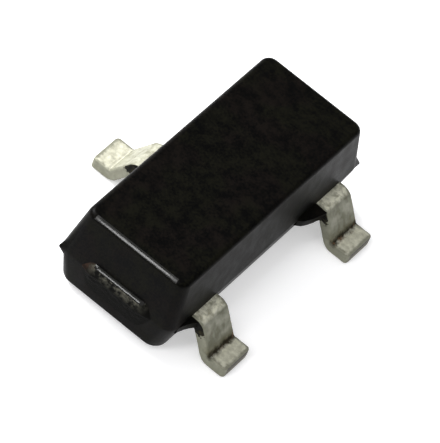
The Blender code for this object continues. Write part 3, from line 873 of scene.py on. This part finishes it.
copper_end = cut_copper()
LEAD_SURFACES = (tin, copper_end)
CUT = LEAD_SURFACES.index(copper_end)
print("material", copper_end.name)

# %% [markdown]
# A lead starts as the rounded section of its strip. One spin makes the upper bend, a row of short
# extrusions the leg, a second spin the lower bend, and more extrusions the foot. Going the other way
# from the same section, wider and narrower extrusions make the notch and the inner end, which lock
# the lead in the compound. The toe narrows at its corners, where the cutting tool rounded them.

# %% Lead shape
LEAD_THICKNESS = 0.11
LEAD_ROOT = 0.04
BEND_RADIUS = 0.08
LEG_ANGLE = math.radians(58)
STRIP_EDGE = 0.02
STRIP_EDGE_STEPS = 3
TOE_CORNER = 0.035
TOE_STEPS = 5
MESH_STEP = 0.010
BEND_START = BODY_WIDTH / 2 + LEAD_ROOT
LEAD_MIDDLE = PARTING - LEAD_THICKNESS / 2
BEND_DROP = BEND_RADIUS * (1 - math.cos(LEG_ANGLE))
BEND_STEPS = round(BEND_RADIUS * LEG_ANGLE / MESH_STEP)
LEG_LENGTH = (PARTING - LEAD_THICKNESS - 2 * BEND_DROP) / math.sin(LEG_ANGLE)


def strip_section(bm):
    """Rounded section of the strip, standing upright where the upper bend starts."""
    grid = bmesh.ops.create_grid(bm, x_segments=1, y_segments=1, size=1)
    bmesh.ops.scale(bm, verts=grid["verts"], vec=(LEAD_THICKNESS / 2, LEAD_WIDTH / 2, 1))
    bmesh.ops.rotate(bm, verts=grid["verts"], matrix=Matrix.Rotation(math.radians(90), 3, "Y"))
    bmesh.ops.translate(bm, verts=grid["verts"], vec=(BEND_START, 0, LEAD_MIDDLE))
    bmesh.ops.bevel(bm, geom=grid["verts"], offset=STRIP_EDGE, segments=STRIP_EDGE_STEPS, profile=0.5,
                    affect="VERTICES", material=-1)
    for edge in list(bm.edges):
        cuts = round(edge.calc_length() / MESH_STEP) - 1
        if cuts > 0:
            bmesh.ops.bisect_edges(bm, edges=[edge], cuts=cuts)
    return bm.faces[:][0]


def bend(bm, cap, centre, angle):
    """Spin the end of the strip round a centre, and give its new end."""
    spun = bmesh.ops.spin(bm, geom=[cap], cent=centre, axis=(0, 1, 0), angle=angle, steps=BEND_STEPS,
                          use_duplicate=False)
    return next(item for item in spun["geom_last"] if isinstance(item, bmesh.types.BMFace))


def run_on(bm, cap, direction, length):
    """Extrude the end of the strip in short steps along a direction."""
    steps = max(1, round(length / MESH_STEP))
    for _ in range(steps):
        cap = push(bm, cap, direction * (length / steps))
    return cap


def widen(bm, cap, share):
    """Scale the end of the strip across its width."""
    bmesh.ops.scale(bm, verts=cap.verts, vec=(1, share, 1))

# %% [markdown]
# Two functions use these moves. The outer end goes through both bends to the toe, whose last steps
# follow a quarter of a circle. The inner end goes back into the body, from one width to the next.

# %% Outer and inner end of a lead
def round_toe(bm, cap):
    """Last steps of the foot, narrower and narrower."""
    before = LEAD_WIDTH
    for step in range(1, TOE_STEPS + 1):
        turn = math.radians(90) * step / TOE_STEPS
        ahead = TOE_CORNER * (math.sin(turn) - math.sin(turn - math.radians(90) / TOE_STEPS))
        width = LEAD_WIDTH - 2 * TOE_CORNER * (1 - math.cos(turn))
        cap = push(bm, cap, (ahead, 0, 0))
        widen(bm, cap, width / before)
        before = width
    return cap


def outer_end(bm, section):
    """Both bends, the leg, the foot and the cut toe."""
    upper_centre = Vector((BEND_START, 0, LEAD_MIDDLE - BEND_RADIUS))
    cap = bend(bm, section, upper_centre, LEG_ANGLE)
    down = Vector((math.cos(LEG_ANGLE), 0, -math.sin(LEG_ANGLE)))
    cap = run_on(bm, cap, down, LEG_LENGTH)
    square_to_leg = Vector((math.sin(LEG_ANGLE), 0, math.cos(LEG_ANGLE)))
    lower_centre = cap.calc_center_bounds() + square_to_leg * BEND_RADIUS
    cap = bend(bm, cap, lower_centre, -LEG_ANGLE)
    foot = LEAD_REACH - TOE_CORNER - cap.calc_center_bounds().x
    cap = run_on(bm, cap, Vector((1, 0, 0)), foot)
    return round_toe(bm, cap)


def inner_end(bm, section, steps):
    """Extrude back into the body, through each (end, width) in turn."""
    cap = section
    at, width_before = BEND_START, LEAD_WIDTH
    for end, width in steps:
        if width != width_before:
            cap = push(bm, cap, (0, 0, 0))
            widen(bm, cap, width / width_before)
        cap = push(bm, cap, (end - at, 0, 0))
        at, width_before = end, width

# %% [markdown]
# The grain of the plating is real relief too: each point of the visible stretch moves along its
# normal by a little noise. The cut toe is a single face at first, so a net of cuts gives it points
# to move.

# %% Relief on a lead
PLATING_RELIEF = 0.0022
TOE_RELIEF = 0.0012
LUMPS_PER_MM = 30
FINE_LUMP_SCALE = 2.6
FINE_LUMP_SHARE = 0.4
SQUARE_ON = 0.99


def net_of_cuts(bm, cap):
    """Cut the toe into small squares."""
    low = Vector(min(vert.co[i] for vert in cap.verts) for i in range(3))
    high = Vector(max(vert.co[i] for vert in cap.verts) for i in range(3))
    faces = [cap]
    for index, direction in ((1, (0, 1, 0)), (2, (0, 0, 1))):
        count = round((high[index] - low[index]) / MESH_STEP)
        for step in range(1, count):
            point = Vector(low)
            point[index] += (high[index] - low[index]) * step / count
            geom = faces + list({edge for face in faces for edge in face.edges})
            geom += list({vert for face in faces for vert in face.verts})
            bmesh.ops.bisect_plane(bm, geom=geom, plane_co=point, plane_no=direction, dist=SAME_POINT)
            faces = [face for face in bm.faces if face.normal.x > SQUARE_ON
                     and face.calc_center_median().x > high.x - CLOSE]
    return faces


def roughen(bm, seed):
    """Move the points of the visible stretch by noise."""
    bm.normal_update()
    moves = []
    for vert in bm.verts:
        start = (vert.co.x - BODY_WIDTH / 2) / LEAD_ROOT
        amount = PLATING_RELIEF * min(max(start, 0), 1)
        place = vert.co * LUMPS_PER_MM + Vector((seed, 0, 0))
        toe = vert.co.x > LEAD_REACH - CLOSE
        lump = noise.noise(place) + FINE_LUMP_SHARE * noise.noise(place * FINE_LUMP_SCALE)
        moves.append(vert.normal * lump * (TOE_RELIEF if toe else amount))
    for vert, move in zip(bm.verts, moves):
        vert.co += move
        vert.co.z = max(vert.co.z, 0)
        vert.co.x = min(vert.co.x, LEAD_REACH)

# %% [markdown]
# All three leads share their outer end. Inside, the cathode ends in the wide pad that carries the
# die, and the two others in a narrow post. A notch in front of each holds it in the compound.

# %% The three leads
NOTCH_WIDTH = 0.26
NOTCH_LENGTH = 0.07
PAD_NECK = 0.47
PAD_END = -0.24
PAD_WIDTH = 1.12
POST_NECK = 0.53
POST_END = 0.2
POST_WIDTH = 0.52
PAD_STEPS = ((PAD_NECK, LEAD_WIDTH), (PAD_NECK - NOTCH_LENGTH, NOTCH_WIDTH), (PAD_END, PAD_WIDTH))
POST_STEPS = ((POST_NECK, LEAD_WIDTH), (POST_NECK - NOTCH_LENGTH, NOTCH_WIDTH), (POST_END, POST_WIDTH))


def lead(name, steps, side, row, seed):
    """One whole lead, drawn along +X and then turned to its side and row."""
    bm = bmesh.new()
    section = strip_section(bm)
    toe = outer_end(bm, section)
    inner_end(bm, section, steps)
    bmesh.ops.recalc_face_normals(bm, faces=bm.faces)
    for face in net_of_cuts(bm, toe):
        face.material_index = CUT
    roughen(bm, seed)
    if side < 0:
        bmesh.ops.rotate(bm, verts=bm.verts, matrix=Matrix.Rotation(math.radians(180), 3, "Z"))
    bmesh.ops.translate(bm, verts=bm.verts, vec=(0, row, 0))
    made = piece(name + "_plated", bm, LEAD_SURFACES, sharp=50)
    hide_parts(name)


lead("lead_cathode", PAD_STEPS, side=-1, row=0, seed=11)
lead("lead_anode", POST_STEPS, side=1, row=-LEAD_ROW, seed=23)
lead("lead_unconnected", POST_STEPS, side=1, row=LEAD_ROW, seed=37)

# %% [markdown]
# The die, its bonding layer and the wire keep the shape that the frame gives them, because they are
# sealed inside. Only their materials are new: sawn silicon with a metal contact on top, epoxy full of
# silver flakes, and drawn gold.

# %% Sealed pieces
FILM_DARK = (0.10, 0.11, 0.15)
FILM_LIGHT = (0.16, 0.16, 0.19)
FILM_CELLS = 0.2
CONTACT_METAL = (0.75, 0.74, 0.72)
CONTACT_THICKNESS = 0.005
CONTACT_RIM = 0.001
SAW_CELLS = 0.008
SAW_STRETCH = 0.1
SAW_DEPTH = 0.001
SILVER_DARK = (0.30, 0.30, 0.29)
SILVER_LIGHT = (0.62, 0.62, 0.6)
SILVER_CELLS = 0.009
SILVER_DEPTH = 0.003
GOLD_DARK = (0.86, 0.58, 0.19)
GOLD_LIGHT = (0.95, 0.70, 0.30)
DRAW_CELLS = 0.02
DRAW_DEPTH = 0.0006


def sawn_silicon():
    """Blue-grey silicon, with the evaporated contact on its raised middle."""
    made, tree, shader, place = start_material("sawn_silicon", roughness=0.3, metallic=0.7)
    contact_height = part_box("zener_die")[1].z / MM - CONTACT_THICKNESS
    contact = spread(tree, coordinate(tree, place, "Z"), contact_height, contact_height + CONTACT_RIM)
    film = ramp(tree, cells(tree, place, FILM_CELLS, detail=1), *HARD_SPAN, FILM_DARK, FILM_LIGHT)
    tree.links.new(blend(tree, contact, film, CONTACT_METAL), shader.inputs["Base Color"])
    saw = add(tree, "ShaderNodeMapping", {"Vector": place, "Scale": (1, 1, SAW_STRETCH)})
    marks = cells(tree, saw.outputs["Vector"], SAW_CELLS)
    tree.links.new(relief(tree, marks, SAW_DEPTH), shader.inputs["Normal"])
    return made


def silver_adhesive():
    """Epoxy full of silver flakes."""
    made, tree, shader, place = start_material("silver_adhesive", roughness=0.55, metallic=0.5)
    flakes = cells(tree, place, SILVER_CELLS)
    tree.links.new(ramp(tree, flakes, *HARD_SPAN, SILVER_DARK, SILVER_LIGHT), shader.inputs["Base Color"])
    tree.links.new(relief(tree, flakes, SILVER_DEPTH), shader.inputs["Normal"])
    return made


def drawn_gold():
    """Gold wire with the faint marks of its drawing die."""
    made, tree, shader, place = start_material("drawn_gold", roughness=0.22, metallic=1.0)
    marks = cells(tree, place, DRAW_CELLS)
    tree.links.new(ramp(tree, marks, *NOISE_SPAN, GOLD_DARK, GOLD_LIGHT), shader.inputs["Base Color"])
    tree.links.new(relief(tree, marks, DRAW_DEPTH), shader.inputs["Normal"])
    return made


for name, surface in (("zener_die", sawn_silicon()), ("die_attach", silver_adhesive()),
                      ("bond_wire", drawn_gold())):
    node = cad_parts[name]
    node.data.materials.clear()
    node.data.materials.append(surface)
    print(name, "has", surface.name)

# %% [markdown]
# The part lies on a plain white table. The camera has to see it pure white, with only the soft shadow
# of the part, but more light would wash the part out. So for the camera, and for rays that the part
# mirrors, the table adds a little light of its own to the light that falls on it. It lies a hair
# below the feet, because two surfaces in one plane would show through each other.

# %% Table
TABLE_SIZE = 500 * MM
TABLE_WHITE = (0.8, 0.8, 0.81, 1)
TABLE_GLOW = 0.4
TABLE_GAP = 0.0005 * MM


def table_surface():
    """White table that keeps the shadow of the part."""
    made = bpy.data.materials.new("table")
    made.use_nodes = True
    tree = made.node_tree
    tree.nodes.clear()
    ray = add(tree, "ShaderNodeLightPath", {})
    seen = maths(tree, "MAXIMUM", ray.outputs["Is Camera Ray"], ray.outputs["Is Glossy Ray"])
    strength = maths(tree, "MULTIPLY", seen, TABLE_GLOW)
    paint = add(tree, "ShaderNodeBsdfDiffuse", {"Color": TABLE_WHITE})
    glow = add(tree, "ShaderNodeEmission", {"Strength": strength})
    bright = add(tree, "ShaderNodeAddShader", {0: paint.outputs[0], 1: glow.outputs[0]})
    add(tree, "ShaderNodeOutputMaterial", {"Surface": bright.outputs[0]})
    return made


bm = bmesh.new()
bmesh.ops.create_grid(bm, x_segments=1, y_segments=1, size=TABLE_SIZE / 2)
bmesh.ops.translate(bm, verts=bm.verts, vec=(0, 0, -TABLE_GAP))
table_mesh = bpy.data.meshes.new("table")
bm.to_mesh(table_mesh)
bm.free()
table_mesh.materials.append(table_surface())
table = bpy.data.objects.new("table", table_mesh)
bpy.context.scene.collection.objects.link(table)
table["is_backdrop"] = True
print("table", TABLE_SIZE, "m")

# %% [markdown]
# The light is that of a small product studio. A broad soft lamp stands to the left, about 40 degrees
# up. It makes the lead on the left bright and leaves the two on the right in the shadow of the body.
# A tall narrow lamp in front draws the thin bright line along the front rim. The room lights the part
# evenly. What the part mirrors of the room is dimmer, most of all low down, which keeps it dark.

# %% Lamps and room
ROOM_LIGHT = (0.7, 0.7, 0.7)
ROOM_LOW = (0.12, 0.12, 0.12)
ROOM_HIGH = (0.5, 0.5, 0.5)
ROOM_HEIGHT = (0.2, 0.6)
WHITE = (1, 1, 1)


def lamp(name, direction, distance, width, height, watts):
    """Rectangular lamp that looks at the part, at a distance in millimetres."""
    light = bpy.data.lights.new(name, "AREA")
    light.shape = "RECTANGLE"
    light.size = width * MM
    light.size_y = height * MM
    light.energy = watts
    made = bpy.data.objects.new(name, light)
    bpy.context.scene.collection.objects.link(made)
    towards = Vector(direction).normalized()
    turn = towards.to_track_quat("Z", "Y").to_matrix().to_4x4()
    made.matrix_world = Matrix.Translation(towards * distance * MM) @ turn
    print(name, f"{watts} W")


lamp("soft_lamp", (-0.75, 0.1, 0.65), 60, 30, 30, 0.05)
lamp("rim_lamp", (-0.2, -0.63, 0.75), 60, 8, 40, 0.012)

room = bpy.data.worlds.new("room")
bpy.context.scene.world = room
room.use_nodes = True
tree = room.node_tree
background = tree.nodes["Background"]
ray = add(tree, "ShaderNodeLightPath", {})
direction = add(tree, "ShaderNodeTexCoord", {}).outputs["Generated"]
backdrop = ramp(tree, coordinate(tree, direction, "Z", unit=1), *ROOM_HEIGHT, ROOM_LOW, ROOM_HIGH)
mirrored = maths(tree, "MAXIMUM", ray.outputs["Is Glossy Ray"], ray.outputs["Is Transmission Ray"])
seen = blend(tree, mirrored, ROOM_LIGHT, backdrop)
seen = blend(tree, ray.outputs["Is Camera Ray"], seen, WHITE)
tree.links.new(seen, background.inputs["Color"])
bpy.context.scene.view_settings.view_transform = "Standard"

# %% [markdown]
# Both boxes, of the solid model and of the visual one, are printed.

# %% Sizes and finish
visual_box = [list(corner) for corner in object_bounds()]
for word, box in (("solid", cad_box), ("visual", visual_box)):
    print(word, [[round(value / MM, 4) for value in corner] for corner in box])
